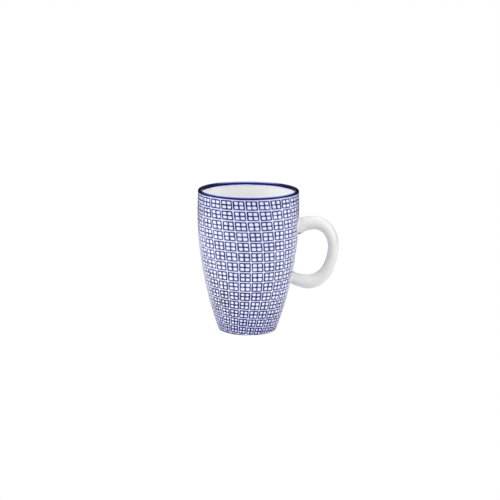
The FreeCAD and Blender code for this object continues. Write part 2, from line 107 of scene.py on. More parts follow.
def cavity_r(z, drop=0.0):
    """Inside radius of the wall at a height, or of a surface that far behind it."""
    return CAVITY_X + np.sqrt((INNER_BOW + drop) ** 2 - (z - WIDEST_Z) ** 2)


# ------------------------ mesh helpers

SEGMENTS = 192  # steps round a plain turned piece


def add_object(name, data):
    made = bpy.data.objects.new(name, data)
    bpy.context.scene.collection.objects.link(made)
    return made


def make_piece(name, points, faces):
    """A mesh piece from millimetre points, riding on the mug's one body."""
    mesh = bpy.data.meshes.new(name)
    mesh.from_pydata((np.asarray(points) * MM).tolist(), [], faces)
    piece = add_object(name, mesh)
    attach(piece, "root")
    return piece


def mesh_values(items, name, width=1, kind=float):
    """One value of every vertex, corner or face, as an array."""
    values = np.zeros(len(items) * width, kind)
    items.foreach_get(name, values)
    return values.reshape(-1, width) if width > 1 else values


def settle(piece, sharp=38.0):
    """Merge the points on the axis, face outwards and shade smooth but for real edges."""
    mesh = piece.data
    work = bmesh.new()
    work.from_mesh(mesh)
    bmesh.ops.remove_doubles(work, verts=work.verts, dist=1e-8)
    bmesh.ops.recalc_face_normals(work, faces=work.faces)
    work.to_mesh(mesh)
    work.free()
    mesh.shade_smooth()
    mesh.set_sharp_from_angle(angle=math.radians(sharp))


def arc_points(centre_x, centre_z, radius, start, end, count):
    """Points of a circle from one angle to another, in degrees, from +X towards +Z."""
    turn = np.radians(np.linspace(start, end, count))
    return np.stack([centre_x + radius * np.cos(turn), centre_z + radius * np.sin(turn)], 1)


def wall_points(low, high, drop, count):
    z = np.linspace(low, high, count)
    return np.stack([wall_r(z, drop), z], 1)


def cavity_points(low, high, drop, count):
    z = np.linspace(low, high, count)
    return np.stack([cavity_r(z, drop), z], 1)


def turned(radius, turn, z):
    """Points round the axis, from their angles from the front in radians."""
    return np.stack([radius * np.sin(turn), -radius * np.cos(turn), z], -1)


def lathe(name, profile):
    """A piece turned about Z from a closed outline, or from one outline per segment."""
    profile = np.asarray(profile, float)
    if profile.ndim == 2:
        profile = np.broadcast_to(profile, (SEGMENTS, *profile.shape))
    segments, count = profile.shape[:2]
    turn = np.radians(np.arange(segments) * 360.0 / segments)[:, None]
    radius, z = profile[..., 0], profile[..., 1]
    points = turned(radius, turn, z).reshape(-1, 3)
    here = np.arange(segments * count).reshape(segments, count)
    there = np.roll(here, -1, 0)
    quads = np.stack([here, there, np.roll(there, -1, 1), np.roll(here, -1, 1)], -1)
    on_axis = (radius < 1e-9) & (np.roll(radius, -1, 1) < 1e-9)
    piece = make_piece(name, points, quads[~on_axis].tolist())
    settle(piece)
    return piece


def ring_quads(rings, around):
    """Quads between rings of points, each ring closed on itself."""
    index = np.arange(rings * around).reshape(rings, around)
    beside = np.roll(index, -1, 1)
    return np.stack([index[:-1], beside[:-1], beside[1:], index[1:]], -1).reshape(-1, 4)


# ------------------------ the handle's loop

CROWN_THICK, BELLY_THICK, SOLE_THICK, TAIL_THICK, ROOT_THICK = 10.4, 8.4, 11.0, 9.2, 12.6
GRIP_WIDTH, ROOT_WIDTH, TAIL_WIDTH = 13.0, 17.4, 14.4
CROWN = (55.5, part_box("handle")[1].z / MM - CROWN_THICK / 2)
BELLY = (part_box("handle")[1].x / MM - BELLY_THICK / 2, 72.0)
SOLE = (51.5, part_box("handle")[0].z / MM + SOLE_THICK / 2)
ROOT = (42.5, CROWN[1] - 3.0)
TAIL = (39.5, SOLE[1] + 2.5)
# Ovals from inside the wall to near the crown: share of the way from the root, lean.
ROOT_OVALS = ((-0.4, 6), (0, 10), (0.35, 7), (0.68, 3))
THINNING = 2.5  # how soon a bend thins: the power of the cosine it follows
AROUND = 72  # points round one oval of the loop
LOOP_RINGS = 148  # ovals along the loop between its two fillets
CROSSING_STEPS = 600  # samples along a root in the search for the wall


def bend_station(level, thick, side, degrees):
    """An oval on the quarter ellipse between the belly and a level section."""
    turn = math.radians(degrees)
    across, rise = BELLY[0] - level[0], level[1] - BELLY[1]
    swing = math.degrees(math.atan2(side * rise * math.sin(turn), across * math.cos(turn)))
    return (
        level[0] + across * math.sin(turn),
        BELLY[1] + rise * math.cos(turn),
        180 - 90 * side + side * swing,
        BELLY_THICK + (thick - BELLY_THICK) * math.cos(turn) ** THINNING,
        GRIP_WIDTH,
    )


def handle_stations():
    """The loop's ovals in order: x, z, tilt about Y, thickness and width along Y."""
    stations = []
    for share, tip in ROOT_OVALS:
        flare = (1 - max(share, -0.05)) ** 2
        stations.append((
            ROOT[0] + share * (CROWN[0] - ROOT[0]),
            CROWN[1] - flare * (CROWN[1] - ROOT[1]),
            90 - tip,
            CROWN_THICK + flare * (ROOT_THICK - CROWN_THICK),
            GRIP_WIDTH + flare * (ROOT_WIDTH - GRIP_WIDTH),
        ))
    stations += [bend_station(CROWN, CROWN_THICK, 1, degrees) for degrees in (0, 30, 60, 90)]
    stations += [bend_station(SOLE, SOLE_THICK, -1, degrees) for degrees in (62, 32, 0)]
    rise, back = TAIL[1] - SOLE[1], SOLE[0] - TAIL[0]
    slope = 2 * math.atan(rise / back)
    stations.append((SOLE[0] - back / 2, SOLE[1] + rise / 4, 270 + math.degrees(slope) / 2,
                     (SOLE_THICK + TAIL_THICK) / 2, (GRIP_WIDTH + TAIL_WIDTH) / 2))
    for beyond in (0, TAIL_THICK / 2):
        stations.append((TAIL[0] - beyond * math.cos(slope), TAIL[1] + beyond * math.sin(slope),
                         270 + math.degrees(slope), TAIL_THICK, TAIL_WIDTH))
    return np.array(stations)


def spline(knots, values, at):
    """A natural cubic spline through the values at the knots, read at other places."""
    count = len(knots)
    gap = np.diff(knots)
    slope = np.diff(values, axis=0) / gap[:, None]
    system, right = np.eye(count), np.zeros_like(values)
    for i in range(1, count - 1):
        system[i, i - 1:i + 2] = gap[i - 1], 2 * (gap[i - 1] + gap[i]), gap[i]
        right[i] = 6 * (slope[i] - slope[i - 1])
    second = np.linalg.solve(system, right)
    cell = np.clip(np.searchsorted(knots, at) - 1, 0, count - 2)
    width = gap[cell][..., None]
    past = (at - knots[cell])[..., None] / width
    rest = 1 - past
    return (rest * values[cell] + past * values[cell + 1]
            + ((rest ** 3 - rest) * second[cell] + (past ** 3 - past) * second[cell + 1])
            * width ** 2 / 6)


STATIONS = handle_stations()
PLACES = np.concatenate([[0], np.cumsum(np.hypot(*np.diff(STATIONS[:, :2], axis=0).T))])
OVAL = np.linspace(0, 2 * np.pi, AROUND, endpoint=False)


def loop_points(along, around, growth=COAT):
    """Points on the loop at distances along it and angles round its ovals."""
    x, z, tilt, thick, width = np.moveaxis(spline(PLACES, STATIONS, along), -1, 0)
    tilt = np.radians(tilt)
    out = (thick / 2 + growth) * np.cos(around)
    return np.stack([
        x + out * np.cos(tilt),
        (width / 2 + growth) * np.sin(around),
        z - out * np.sin(tilt),
    ], -1)


def on_wall_face(flat, drop):
    """Points of the wall from their runs round the cup from +X, in mm, and heights."""
    run, z = flat.T
    radius = wall_r(z, drop)
    turn = run / radius
    return np.stack([radius * np.cos(turn), radius * np.sin(turn), z], -1)


def wall_crossing(start, end):
    """Where each line of the loop, from start to end, goes through the wall's glaze."""
    along = np.linspace(start, end, CROSSING_STEPS)[:, None]
    points = loop_points(along, OVAL[None, :])
    depth = np.hypot(points[..., 0], points[..., 1]) - wall_r(points[..., 2], GLAZE_DROP)
    first = np.argmax(depth > 0, axis=0)
    columns = np.arange(AROUND)
    before, after = depth[first - 1, columns], depth[first, columns]
    share = before / (before - after)
    return along[first - 1, 0] + share * (along[first, 0] - along[first - 1, 0])


UPPER_FILLET = (1.8, 1.0)  # how far the fillet onto the wall runs: along the loop, up the wall
LOWER_FILLET = (2.0, 1.1)
FILLET_STEPS = 9
FILLET_PULL = 0.6  # share of each leg that the fillet's curve is pulled along
SUNK = 0.3  # how far the handle's closed ends lie under the wall's face
NUDGE = 0.05  # a small step along the loop, to read its direction


def outline_on_wall(crossing):
    """The ring in which an end of the handle meets the wall: run round the cup, height,
    and the ring's own outward direction in those two."""
    points = loop_points(crossing, OVAL)
    run = np.arctan2(points[:, 1], points[:, 0]) * np.hypot(points[:, 0], points[:, 1])
    flat = np.stack([run, points[:, 2]], 1)
    tangent = np.roll(flat, -1, axis=0) - np.roll(flat, 1, axis=0)
    normal = np.stack([tangent[:, 1], -tangent[:, 0]], 1)
    normal /= np.linalg.norm(normal, axis=1, keepdims=True)
    inward = np.sum(normal * (flat - flat.mean(axis=0)), axis=1) < 0
    normal[inward] *= -1
    return flat, normal


def root_rings(crossing, outward, fillet):
    """Rings from the middle of an end, inside the wall, out over the fillet and onto the
    loop.  Outward is the sign of the way along the loop that leads away from the wall."""
    on_loop, on_wall = fillet
    flat, normal = outline_on_wall(crossing)
    foot = flat + on_wall * normal
    middle = flat.mean(axis=0)
    rings = []
    for share in (0.12, 0.35, 0.62, 0.85, 1.0):
        rings.append(on_wall_face(middle + share * (foot - middle), SUNK))
    start = on_wall_face(foot, GLAZE_DROP)
    start_pull = on_wall_face(foot - on_wall * FILLET_PULL * normal, GLAZE_DROP)
    leave = crossing + outward * on_loop
    end = loop_points(leave, OVAL)
    leg = end - loop_points(leave - outward * on_loop * FILLET_PULL, OVAL)
    way = end - loop_points(leave + outward * NUDGE, OVAL)
    pull = np.linalg.norm(leg, axis=1) / np.linalg.norm(way, axis=1)
    end_pull = end + way * pull[:, None]
    for t in np.linspace(0, 1, FILLET_STEPS + 1):
        rings.append((1 - t) ** 3 * start + 3 * (1 - t) ** 2 * t * start_pull
                     + 3 * (1 - t) * t ** 2 * end_pull + t ** 3 * end)
    return rings, leave


ROOT_CROSSING = wall_crossing(0.0, PLACES[3])
TAIL_CROSSING = wall_crossing(PLACES[-1], PLACES[-4])


def glazed_handle():
    """The glazed loop as one closed skin, its ends flowing out onto the wall."""
    upper, upper_leave = root_rings(ROOT_CROSSING, 1, UPPER_FILLET)
    lower, lower_leave = root_rings(TAIL_CROSSING, -1, LOWER_FILLET)
    tube = []
    for share in np.linspace(0, 1, LOOP_RINGS + 2)[1:-1]:
        tube.append(loop_points(upper_leave + share * (lower_leave - upper_leave), OVAL))
    rings = np.array(upper + tube + lower[::-1])
    points = rings.reshape(-1, 3)
    centres = [rings[0].mean(axis=0), rings[-1].mean(axis=0)]
    faces = ring_quads(len(rings), AROUND).tolist()
    for first, tip in ((0, len(points)), (len(points) - AROUND, len(points) + 1)):
        faces += [(first + i, first + (i + 1) % AROUND, tip) for i in range(AROUND)]
    piece = make_piece("glazed_handle", np.concatenate([points, centres]), faces)
    settle(piece, sharp=60)
    return piece


def clear_of_handle(angle, z, margin):
    """Push points of the wall out of the handle's two ends.  Gives the new angles and
    heights, and which of the points were moved."""
    run = np.radians((angle - 90 + 180) % 360 - 180) * wall_r(z)
    moved = np.zeros(run.shape, bool)
    for crossing in (ROOT_CROSSING, TAIL_CROSSING):
        flat, normal = outline_on_wall(crossing)
        middle = flat.mean(axis=0)
        across, up = (flat + margin * normal - middle).T
        turn, reach = np.arctan2(up, across), np.hypot(across, up)
        order = np.argsort(turn)
        across, up = run - middle[0], z - middle[1]
        limit = np.interp(np.arctan2(up, across), turn[order], reach[order], period=2 * np.pi)
        distance = np.hypot(across, up)
        inside = distance < limit
        stretch = np.where(inside, limit / np.maximum(distance, 1e-6), 1.0)
        run, z = middle[0] + across * stretch, middle[1] + up * stretch
        moved |= inside
    return np.where(moved, np.degrees(run / wall_r(z)) + 90, angle), z, moved


# ------------------------ the print's layout

COLUMNS, ROWS = 24, 15  # the last row is mostly lost round the foot's corner
SHEET = (ROWS, COLUMNS)
PITCH = 360.0 / COLUMNS
TOP_LINE = 117.7  # height of the gap over the first row
ROW_STEP = 8.64
LAST_EVEN_ROW = 8  # the rows under this one close up
CLOSING = 0.12  # by this much, in mm, times the square of the rows since
LEAN_HEIGHTS = (0, 40, 80, 120)
LEAN_DEGREES = (-3.74, 4.44, 2.03, -4.73)
CROWD_TOP, CROWD_FOOT = 3.2, 0.9  # how far columns crowd or spread sideways, in degrees
CROWD_FROM, CROWD_OVER = 35, 75  # height where the crowding starts, and its run upward
SAG, SAG_FADE, SAG_LEVEL = 3.9, 26, 14  # sag of the rows, how it fades upward, its even part
INK_LOW = 0.72  # lowest ink, on the foot's corner
INK_MARGIN = 2.2  # bare wall left round the handle's ends, in mm
WASH_MARGIN = 1.9


def row_height(row):
    """Height of the gap over a row; the last rows close up a little."""
    return TOP_LINE - ROW_STEP * row + CLOSING * np.maximum(row - LAST_EVEN_ROW, 0) ** 2


def row_at(z):
    """The row coordinate at a height: row_height the other way round."""
    under = TOP_LINE - ROW_STEP * LAST_EVEN_ROW - z
    root = np.sqrt(np.maximum(ROW_STEP ** 2 - 4 * CLOSING * under, 0))
    closing_row = LAST_EVEN_ROW + (ROW_STEP - root) / (2 * CLOSING)
    return np.where(under < 0, (TOP_LINE - z) / ROW_STEP, closing_row)


LEAN_CURVE = np.polyfit(LEAN_HEIGHTS, LEAN_DEGREES, 3)


def lean(z):
    """Where the front gap between columns stands, in degrees: the sheet swings to one
    side in the middle of the wall and back at both ends."""
    return np.polyval(LEAN_CURVE, z)


def crowding(z):
    """How much the columns crowd at the front, at the top, and spread, at the foot."""
    return CROWD_FOOT - CROWD_TOP * np.maximum((z - CROWD_FROM) / CROWD_OVER, 0) ** 1.5


def droop(z):
    """How far the rows sag towards the handle, in mm; more near the foot."""
    return SAG * np.exp(-np.maximum(z, SAG_LEVEL) / SAG_FADE)


def column_angle(column, z):
    return lean(z) + PITCH * column + crowding(z) * np.sin(np.radians(PITCH * column))


def print_place(column, row):
    """Angle round the cup and height of a place on the printed sheet."""
    level = row_height(row)
    z = level - droop(level) * np.sin(np.radians(column_angle(column, level)))
    return column_angle(column, z), z


def print_cell(angle, z):
    """The column and row coordinates of a place on the wall, found in a few rounds."""
    level = z
    for _ in range(4):
        level = z + droop(level) * np.sin(np.radians(angle))
    column = (angle - lean(z)) / PITCH
    for _ in range(6):
        column = (angle - lean(z) - crowding(z) * np.sin(np.radians(PITCH * column))) / PITCH
    return column, row_at(level)


# ------------------------ the printed windows

PANE_STEPS = 4  # steps along each side of a pane
SQUARE, ROUNDER = 5.0, 2.4  # power of the panes' corners in the top row, its loss by the foot
ROUNDEST = 2.2  # the lowest power that a pane may have: 2 is an oval
LOAD_WIDENS = 0.03  # how much a heavy load of ink widens the lines
GAP_BESIDE = 0.038  # half the gap between columns, as a share of a cell
GAP_ABOVE = 0.056  # the same between rows, in the first row
# More ink low away from the handle, less high up beside it as a painted highlight: angle and its
# spread, height and its spread, how much.
LOAD_AND_HIGHLIGHT_PATCHES = ((-44, 22, 32, 15, 0.9), (58, 26, 96, 30, -0.35))


def window_template():
    """One window on a unit square: its points, its quads, and what each point is for.
    Each of four panes is a rounded hole in a square of its own, joined by a ring."""
    square = []
    for x, y, dx, dy in ((0, 0, 1, 0), (1, 0, 0, 1), (1, 1, -1, 0), (0, 1, 0, -1)):
        for step in range(PANE_STEPS):
            square.append((x + dx * step / PANE_STEPS, y + dy * step / PANE_STEPS))
    points, quads, known = [], [], {}
    for pane in range(4):
        corner = np.array((pane % 2, pane // 2)) / 2
        outer = []
        for place in square:
            key = tuple(np.round(corner + np.array(place) / 2, 4))
            if key not in known:
                known[key] = len(points)
                points.append((*key, -1, 0, 0))
            outer.append(known[key])
        inner = []
        for place in square:
            inner.append(len(points))
            points.append((*(corner + 0.25), pane, 2 * place[0] - 1, 2 * place[1] - 1))
        count = len(square)
        for step in range(count):
            after = (step + 1) % count
            quads.append((outer[step], outer[after], inner[after], inner[step]))
    return np.array(points), np.array(quads)


def ink_load_and_highlight(angle, z):
    """How much more ink than usual the print took: more low on the side away from the
    handle.  Less high up beside the handle is a painted highlight, paler ink there."""
    total = 0.0
    for middle, breadth, height, rise, much in LOAD_AND_HIGHLIGHT_PATCHES:
        away = ((angle - middle) / breadth) ** 2 + ((z - height) / rise) ** 2
        total = total + much * np.exp(-away)
    return total


def line_width(low, top, easing, foot, spread):
    """Width of every window's lines as a share of the window: at the top, how much it eases
    lower down, how much it gains on the foot's corner, and how unevenly it is drawn."""
    return top - easing * low + foot * low ** 6 + DRAWS.normal(0, spread, SHEET)


def window_points(template):
    """Column and row coordinates of every window's points, drawn a little unevenly."""
    places, pane, reach = template[:, :2], template[:, 2].astype(int), template[:, 3:]
    low = (np.arange(ROWS) / (ROWS - 1))[:, None]
    frame_side = line_width(low, 0.117, 0.007, 0.056, 0.006)
    frame_level = line_width(low, 0.125, 0.008, 0.060, 0.007)
    middle = (np.arange(COLUMNS) + 0.5 - COLUMNS // 2) * PITCH
    thicker = LOAD_WIDENS * ink_load_and_highlight(middle, row_height(np.arange(ROWS) + 0.5)[:, None])
    frame_width = np.stack([frame_side + thicker, frame_level + thicker], -1)[:, :, None]
    rounding = SQUARE - ROUNDER * low + DRAWS.normal(0, 0.5, SHEET)
    spot = np.broadcast_to(places, (*SHEET, *places.shape)).copy()
    wobble = DRAWS.normal(0, 0.006, spot.shape)
    spot += np.where((pane < 0)[:, None], wobble, 0)
    for number in range(4):
        mine = pane == number
        spot[:, :, mine] += pane_edge(number, reach[mine], frame_width, rounding)
    clip_corners(spot, places, pane < 0)
    skew_windows(spot, places)
    gap = np.stack(np.broadcast_arrays(GAP_BESIDE, GAP_ABOVE - 0.012 * low), -1)[:, :, None]
    spot = gap + (1 - 2 * gap) * spot
    column = np.arange(COLUMNS)[None, :, None] - COLUMNS // 2 + spot[..., 0]
    row = np.arange(ROWS)[:, None, None] + spot[..., 1]
    return column, row


def pane_edge(number, reach, frame_width, rounding):
    """Where the edge of one pane lies from the middle of its quarter, in every window: a
    square with rounded corners, moved towards the middle cross, which is thin."""
    size = DRAWS.normal(1, 0.04, (*SHEET, 1, 2))
    half = (0.25 - 0.75 * frame_width) * size
    shift = DRAWS.normal(0, 0.008, (*SHEET, 1, 2))
    inward = np.where((number % 2, number // 2), -1, 1) / 4
    shift += frame_width * inward
    power = np.maximum(rounding + DRAWS.normal(0, 0.5, SHEET), ROUNDEST)[..., None]
    side, up = np.abs(reach).T
    shrink = (side ** power + up ** power) ** (-1 / power)
    return shift + reach * (shrink * DRAWS.normal(1, 0.025, shrink.shape))[..., None] * half


def clip_corners(spot, places, on_ring):
    """Take a little off every window's outer corners."""
    corner = (np.abs(places - 0.5).min(axis=1) > 0.49) & on_ring
    cut = np.abs(DRAWS.normal(0, 0.022, (*SHEET, corner.sum(), 1)))
    spot[:, :, corner] -= np.sign(places[corner] - 0.5) * cut


def skew_windows(spot, places):
    """Pull each window's four corners a little way, and all inside with them."""
    skew = DRAWS.normal(0, 0.010, (*SHEET, 4, 2))
    for number, (x, y) in enumerate(((0, 0), (1, 0), (0, 1), (1, 1))):
        weight = np.abs(1 - x - places[:, 0]) * np.abs(1 - y - places[:, 1])
        spot += weight[:, None] * skew[:, :, number][:, :, None]


def closed_sheet(quads, count):
    """The faces of a thin solid: quads over points 0 to count, the same quads turned over
    under them, and a rim along every free edge."""
    edges = np.concatenate([quads[:, [i, (i + 1) % 4]] for i in range(4)])
    low, high = edges.min(axis=1), edges.max(axis=1)
    _, where, uses = np.unique(low * count + high, return_index=True, return_counts=True)
    free = edges[where[uses == 1]]
    rim = np.stack([free[:, 0], free[:, 0] + count, free[:, 1] + count, free[:, 1]], 1)
    return np.concatenate([quads, quads[:, ::-1] + count, rim]).tolist()


def thin_solid(name, angle, z, quads, top, bottom):
    """A closed thin sheet on the wall, from one drop under the wall's face to another.
    Gives the piece, and which of the points it uses."""
    used, quads = np.unique(quads, return_inverse=True)
    quads = quads.reshape(-1, 4)
    angle, z = angle[used], z[used]
    count = len(used)
    layers = [turned(wall_r(z, drop), np.radians(angle), z) for drop in (top, bottom)]
    piece = make_piece(name, np.concatenate(layers), closed_sheet(quads, count))
    shade_sheet(piece, angle, z, len(quads))
    return piece, used


def wall_normals(angle, z):
    """Outward directions of the wall's face."""
    on_corner, corner_r, radius = z < corner_z(), FOOT_CORNER + COAT, wall_r(z)
    out = np.where(on_corner, (radius - FOOT_X) / corner_r, (radius - WALL_X) / WALL_BOW)
    up = np.where(on_corner, (z - FOOT_CORNER) / corner_r, (z - WIDEST_Z) / WALL_BOW)
    return turned(out, np.radians(angle), up)


def point_values(piece, name, values):
    """Store a number for each point of a piece, for its material to read."""
    layer = piece.data.attributes.new(name, "FLOAT", "POINT")
    layer.data.foreach_set("value", np.asarray(values, np.float32))


def quad_corners(mesh):
    """The points at the four corners of every quad, in millimetres."""
    points = mesh_values(mesh.vertices, "co", 3) / MM
    return points[mesh_values(mesh.loops, "vertex_index", kind=int)].reshape(-1, 4, 3)


def angle_round(points):
    return np.degrees(np.arctan2(points[..., 0], -points[..., 1]))


def sheet_uv(piece):
    """Lay the sheet out flat: its front half over its back half, each a full width."""
    corners = quad_corners(piece.data)
    middle = angle_round(corners.mean(axis=1))[:, None]
    turn = middle + (angle_round(corners) - middle + 180) % 360 - 180
    half = np.where(middle < 0, 0, 1)
    across = 0.02 + 0.96 * (turn + 180 * (1 - half)) / 180
    up = 0.01 + 0.5 * half + 0.48 * corners[..., 2] / HEIGHT
    layer = piece.data.uv_layers.new(name="OFBake")
    layer.data.foreach_set("uv", np.stack([across, up], -1).ravel())


def print_ink():
    """The printed lines: every window as a closed sheet of ink with four panes open."""
    template, pattern = window_template()
    column, row = window_points(template)
    depth = np.broadcast_to(DRAWS.normal(0.5, 0.13, (*SHEET, 1)), column.shape).ravel()
    windows, count = ROWS * COLUMNS, len(template)
    quads = (pattern[None] + (np.arange(windows) * count)[:, None, None]).reshape(-1, 4)
    angle, z = print_place(column.ravel(), row.ravel())
    cut_low = z < INK_LOW
    z = np.maximum(z, INK_LOW)
    angle, z, moved = clear_of_handle(angle, z, INK_MARGIN)
    gone = moved | cut_low
    quads = quads[~gone[quads].all(axis=1)]
    piece, used = thin_solid("print_ink", angle, z, quads, 0.0, INK_THICK)
    # the patches add a painted highlight: paler ink high up beside the handle
    depth = depth + ink_load_and_highlight(angle, z)
    point_values(piece, "ink_depth_and_highlight", np.tile(depth[used], 2))
    sheet_uv(piece)
    return piece


def shade_sheet(piece, angle, z, quads):
    """Give the sheet's two faces the wall's own normals and its rim flat ones."""
    mesh = piece.data
    outward = wall_normals(angle, z)
    corner_vertex = mesh_values(mesh.loops, "vertex_index", kind=int)
    normals = np.repeat(mesh_values(mesh.polygons, "normal", 3), 4, axis=0)
    if np.sum(normals[0] * outward[corner_vertex[0]]) <= 0:
        mesh.flip_normals()
        corner_vertex = mesh_values(mesh.loops, "vertex_index", kind=int)
        normals = -normals
    for first, sign in ((0, 1), (quads * 4, -1)):
        corners = slice(first, first + quads * 4)
        normals[corners] = sign * outward[corner_vertex[corners] % len(angle)]
    mesh.shade_smooth()
    mesh.normals_split_custom_set(normals.tolist())


def print_wash():
    """The pale wash under the print, opened round the handle's ends."""
    across, up, on_corner = 240, 84, 5
    angle = np.linspace(-180, 180, across + 1)[:-1]
    bow = np.linspace(corner_z(), BAND_OUTSIDE + 0.4, up - on_corner)
    corner = np.linspace(INK_LOW - 0.05, corner_z(), on_corner + 1)[:-1]
    angle, z = (part.ravel() for part in np.meshgrid(angle, np.concatenate([corner, bow])))
    quads = ring_quads(up, across)
    angle, z, moved = clear_of_handle(angle, z, WASH_MARGIN)
    quads = quads[~moved[quads].all(axis=1)]
    piece, _ = thin_solid("print_wash", angle, z, quads, WASH_DROP, GLAZE_DROP)
    store_cells(piece)
    sheet_uv(piece)
    return piece


def store_cells(piece):
    """Keep the print's column and row coordinates at every corner of the sheet."""
    corners = quad_corners(piece.data)
    angle = angle_round(corners)
    seam = np.ptp(angle, axis=1) > 180
    angle[seam] = np.where(angle[seam] < 0, angle[seam] + 360, angle[seam])
    column, row = print_cell(angle.ravel(), corners[..., 2].ravel())
    for name, values in (("print_column", column), ("print_row", row)):
        layer = piece.data.attributes.new(name, "FLOAT", "CORNER")
        layer.data.foreach_set("value", values.astype(np.float32))


# ------------------------ the turned pieces

def clay_cup():
    """The fired clay body, seen only where the foot ring is wiped clean."""
    bow_start = FOOT_CORNER + FOOT_CORNER * math.sin(math.radians(FOOT_END))
    outline = np.concatenate([
        np.linspace((0, RECESS_DEPTH), (RECESS_R, RECESS_DEPTH), 10)[:-1],
        arc_points(RECESS_R, 0, RECESS_DEPTH, 90, 0, 8),
        arc_points(FOOT_X, FOOT_CORNER, FOOT_CORNER, -90, FOOT_END, 12),
        wall_points(bow_start + 1, LIP_Z - 0.5, COAT, 48),
        arc_points(LIP_X, LIP_Z, LIP_R - COAT, LIP_OUT, LIP_IN, 14),
        cavity_points(LIP_Z - 0.5, FILLET_Z, COAT, 48),
        arc_points(FILLET_X, FILLET_Z, FLOOR_FILLET + COAT, FILLET_END, -90, 10),
        np.linspace((FILLET_X - 1, FLOOR_Z - COAT), (0, FLOOR_Z - COAT), 6),
    ])
    return lathe("clay_cup", outline)


def coat(name, face, back):
    """A turned coat between its face and its back, both drawn from the same end."""
    return lathe(name, np.concatenate([face, back[::-1]]))


def glazed_wall():
    """The white coat outside, from the wiped foot up under the lip band."""
    skin = FOOT_CORNER + COAT - GLAZE_DROP
    low = math.degrees(math.asin((BARE_FOOT - FOOT_CORNER) / skin))
    bend_z = FOOT_CORNER + skin * math.sin(math.radians(FOOT_END))
    skins = []
    for radius, drop in ((skin, GLAZE_DROP), (FOOT_CORNER - KEYED, COAT + KEYED)):
        skins.append(np.concatenate([
            arc_points(FOOT_X, FOOT_CORNER, radius, low, FOOT_END, 12)[:-1],
            wall_points(bend_z, BAND_OUTSIDE + LAP, drop, 72),
        ]))
    return coat("glazed_wall", *skins)


def glazed_liner():
    """The coat inside the cup, from the middle of the floor up under the lip band."""
    skins = []
    for drop in (0.0, COAT + KEYED):
        turn_z = FILLET_Z + (FLOOR_FILLET + drop) * math.sin(math.radians(FILLET_END))
        skins.append(np.concatenate([
            np.linspace((0, FLOOR_Z - drop), (FILLET_X, FLOOR_Z - drop), 16)[:-1],
            arc_points(FILLET_X, FILLET_Z, FLOOR_FILLET + drop, -90, FILLET_END, 18)[:-1],
            cavity_points(turn_z, BAND_INSIDE + LAP, drop, 64),
        ]))
    return coat("glazed_liner", *skins)


def glazed_base():
    """The coat in the recess under the floor."""
    skins = []
    for depth in (RECESS_DEPTH - COAT, RECESS_DEPTH + KEYED):
        low = math.degrees(math.asin(BARE_FOOT / depth))
        skins.append(np.concatenate([
            np.linspace((0, depth), (RECESS_R, depth), 12)[:-1],
            arc_points(RECESS_R, 0, depth, 90, low, 10),
        ]))
    return coat("glazed_base", *skins)


LIP_SEGMENTS = 288  # steps round the lip, fine enough for its wavering edges
EDGE_LIFT = 0.8  # sets how far the outside edge lifts between the front and the sides
EDGE_THINS = 0.22  # height over which the band's edges thin out
EDGE_DIP = 0.06  # the edges end this far under the ink's face
FULL_FROM = 0.4  # the band has its full thickness this far from its edges


def slow_wave(size, turns):
    """A smooth closed wave round the lip from a few sines of random phase."""
    place = np.arange(LIP_SEGMENTS) * 2 * np.pi / LIP_SEGMENTS
    wave = np.zeros(LIP_SEGMENTS)
    for turn in turns:
        wave += np.sin(turn * place + DRAWS.uniform(0, 2 * np.pi)) / len(turns)
    return size * wave


def cobalt_lip():
    """The hand-banded lip: a cap whose two edges waver as a loaded brush leaves them.  The
    band is deeper inside at the cup's two sides, and painted darker there, a painted shade."""
    side = np.sin(np.arange(LIP_SEGMENTS) * 2 * np.pi / LIP_SEGMENTS)
    outside = BAND_OUTSIDE - 0.04 + EDGE_LIFT * side ** 2 * (1 - side ** 2)
    outside += slow_wave(0.12, (3, 5, 8, 13))
    inside = BAND_INSIDE + 0.12 + slow_wave(0.14, (2, 5, 7, 11, 17))
    inside -= (0.55 - 0.15 * side) * side_depth_and_shade(side)
    piece = lathe("cobalt_lip", [band_outline(*ends) for ends in zip(outside, inside)])
    points = mesh_values(piece.data.vertices, "co", 3)
    across = points[:, 0] / np.hypot(points[:, 0], points[:, 1])
    # the same side weight darkens the band's colour there, a painted shade
    point_values(piece, "side_depth_and_shade", side_depth_and_shade(across))
    return piece


def side_depth_and_shade(side):
    """Weight towards the cup's two sides, by the place across the cup: -1 and 1 are its two
    sides.  It deepens the band inside there and darkens its colour, a painted shade.
    """
    return np.abs(side) ** 3


def band_outline(low_out, low_in):
    """The lip cap's outline where its edges are at these heights."""
    ease = np.array((0.0, 0.3, 0.65, 0.88, 1.0))
    proud = -BAND_PROUD + (BAND_PROUD + EDGE_DIP) * (1 - np.sqrt(1 - ease ** 2))[::-1]
    z_out = low_out + EDGE_THINS * ease
    z_in = low_in + EDGE_THINS * ease
    high_out = LIP_Z + LIP_R * math.sin(math.radians(LIP_OUT)) - 0.08
    high_in = LIP_Z - 0.10
    return np.concatenate([
        np.stack([wall_r(z_out, proud), z_out], 1),
        wall_points(low_out + FULL_FROM, high_out, -BAND_PROUD, 4),
        arc_points(LIP_X, LIP_Z, LIP_R + BAND_PROUD, LIP_OUT, LIP_IN, 22),
        cavity_points(high_in, low_in + FULL_FROM, -BAND_PROUD, 7),
        np.stack([cavity_r(z_in, proud), z_in], 1)[::-1],
        cavity_points(low_in, high_in, COAT, 4),
        arc_points(LIP_X, LIP_Z, LIP_R - COAT, LIP_IN, LIP_OUT, 10),
        wall_points(high_out, low_out, COAT, 4),
    ])


STROKE_FROM = (41.9, 83.5)  # where the stray stroke starts, on the handle's upper root
STROKE_RUN = (2.6, 0.7)  # how far it runs out and up
STROKE_HALF = 0.95  # half its width


